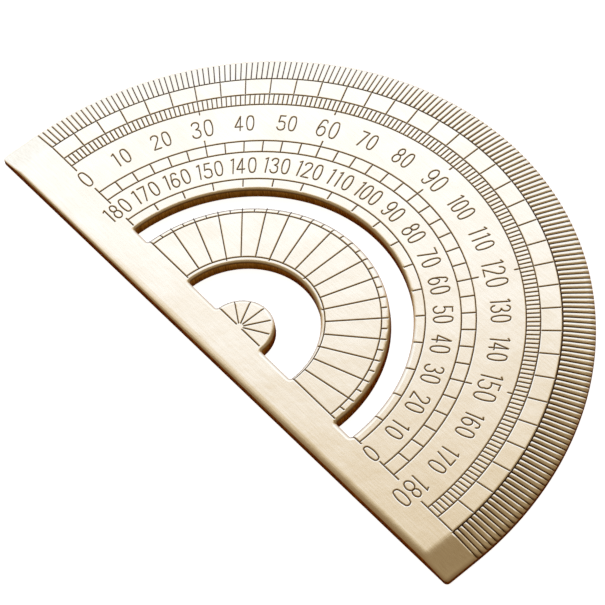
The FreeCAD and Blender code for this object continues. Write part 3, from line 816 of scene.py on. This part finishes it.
def cut_edge_material():
    """The sheared side of the sheet: rougher brass with upright drag marks, painted darker as shade and
    darkest below as a painted shadow.
    """
    nodes = Nodes("sheared_brass_painted_shade")
    shader = nodes.shader
    shader.inputs["Metallic"].default_value = 1.0
    # painted shade in the walls' reflections
    shader.inputs["Specular Tint"].default_value = EDGE_GLANCE_SHADE
    drag = nodes.noise(5000, (1, 1, 0.08), 2)
    # painted shadow: the walls darken towards the floor
    foot = nodes.height(FOOT_LOW, FOOT_HIGH)
    shade = nodes.ramp(foot, (0.0, EDGE_FOOT_SHADOW), (1.0, WHITE))
    # the drag marks vary the tone; the dark brown itself is painted shade
    colour = nodes.mix(1.0, nodes.ramp(drag, (0.3, EDGE_SHADED_DARK), (0.75, EDGE_SHADED_LIGHT)), shade, "MULTIPLY")
    nodes.link(colour, shader.inputs["Base Color"])
    nodes.link(nodes.spread(drag, *SHEARED_ROUGH), shader.inputs["Roughness"])
    nodes.link(nodes.bump(drag, DRAG_BUMP), shader.inputs["Normal"])
    return nodes.material


def enamel_material(name, dark, light):
    """Matt brown filling, slightly uneven in tone and thickness."""
    nodes = Nodes(name)
    shader = nodes.shader
    shader.inputs["Specular IOR Level"].default_value = ENAMEL_SPECULAR
    cloud = nodes.noise(700, (1, 1, 1), 3)
    speck = nodes.noise(6000, (1, 1, 1), 2)
    nodes.link(nodes.ramp(cloud, (0.3, dark), (0.72, light)), shader.inputs["Base Color"])
    nodes.link(nodes.spread(speck, *ENAMEL_ROUGH), shader.inputs["Roughness"])
    nodes.link(nodes.bump(speck, SPECK_BUMP), shader.inputs["Normal"])
    return nodes.material


# ---------------------------------------------------------------- camera, light and floor
def build_camera():
    """Looks down at the plate from the lower right, with a little roll."""
    location = Vector(CAMERA_PLACE) * MM
    target = Vector(CAMERA_TARGET) * MM
    back = (location - target).normalized()
    level_right = Vector((0, 0, 1)).cross(back).normalized()
    level_up = back.cross(level_right)
    roll = math.radians(CAMERA_ROLL)
    right = level_right * math.cos(roll) + level_up * math.sin(roll)
    up = back.cross(right)
    turn = Matrix((right, up, back)).transposed().to_4x4()
    data = bpy.data.cameras.new("camera")
    data.sensor_width = 36
    data.lens = CAMERA_LENS
    data.clip_start = 0.01
    camera = bpy.data.objects.new("camera", data)
    camera.matrix_world = Matrix.Translation(location) @ turn
    bpy.context.scene.collection.objects.link(camera)
    bpy.context.scene.camera = camera


def build_light(name, place, aim, size, power, colour):
    data = bpy.data.lights.new(name, "AREA")
    data.shape = "RECTANGLE"
    data.size, data.size_y = size[0] * MM, size[1] * MM
    data.energy = power
    data.color = colour
    light = bpy.data.objects.new(name, data)
    light.location = Vector(place) * MM
    light.rotation_euler = (Vector(aim) * MM - light.location).to_track_quat("-Z", "Y").to_euler()
    bpy.context.scene.collection.objects.link(light)


def build_world():
    """A pale room, brighter to the upper left."""
    world = bpy.data.worlds.new("pale_room")
    world.use_nodes = True
    tree = world.node_tree
    background = tree.nodes["Background"]
    place = tree.nodes.new("ShaderNodeTexCoord")
    side = tree.nodes.new("ShaderNodeVectorMath")
    side.operation = "DOT_PRODUCT"
    side.inputs[1].default_value = Vector(BRIGHT_SIDE).normalized()
    ramp = tree.nodes.new("ShaderNodeValToRGB")
    set_stops(ramp, ROOM_SHADES)
    tree.links.new(place.outputs["Generated"], side.inputs[0])
    tree.links.new(side.outputs["Value"], ramp.inputs["Fac"])
    tree.links.new(ramp.outputs["Color"], background.inputs["Color"])
    bpy.context.scene.world = world


def build_floor():
    nodes = Nodes("white_paper")
    fibre = nodes.noise(900, (1, 1, 1), 3)
    nodes.link(nodes.ramp(fibre, (0.2, PAPER_DARK), (0.8, PAPER_LIGHT)),
               nodes.shader.inputs["Base Color"])
    nodes.shader.inputs["Roughness"].default_value = 0.9
    nodes.shader.inputs["Emission Color"].default_value = (*WHITE, 1)
    nodes.shader.inputs["Emission Strength"].default_value = FLOOR_GLOW
    half = FLOOR_HALF * MM
    mesh = bpy.data.meshes.new("floor")
    corners = [(-half, -half, 0), (half, -half, 0), (half, half, 0), (-half, half, 0)]
    mesh.from_pydata(corners, [], [(0, 1, 2, 3)])
    mesh.materials.append(nodes.material)
    floor = bpy.data.objects.new("floor", mesh)
    bpy.context.scene.collection.objects.link(floor)


bpy.context.scene.view_settings.view_transform = "Standard"
build_camera()
build_world()
build_light("key_softbox", KEY_PLACE, KEY_AIM, KEY_SIZE, KEY_POWER, KEY_COLOUR)
build_floor()
build_plate(brass_material(), cut_edge_material())
thick_enamel = enamel_material("brown_enamel", ENAMEL_DARK, ENAMEL_LIGHT)
# the rim ticks' dark filling, in the mesh named enamel_rim_degree_lines, is painted shade in their grooves
rim_groove_painted_shade = enamel_material("rim_groove_painted_shade", RIM_SHADE_DARK, RIM_SHADE_LIGHT)
for node, strokes in ENGRAVING.items():
    build_enamel(node, strokes, rim_groove_painted_shade if node == "rim_degree_lines" else thick_enamel)
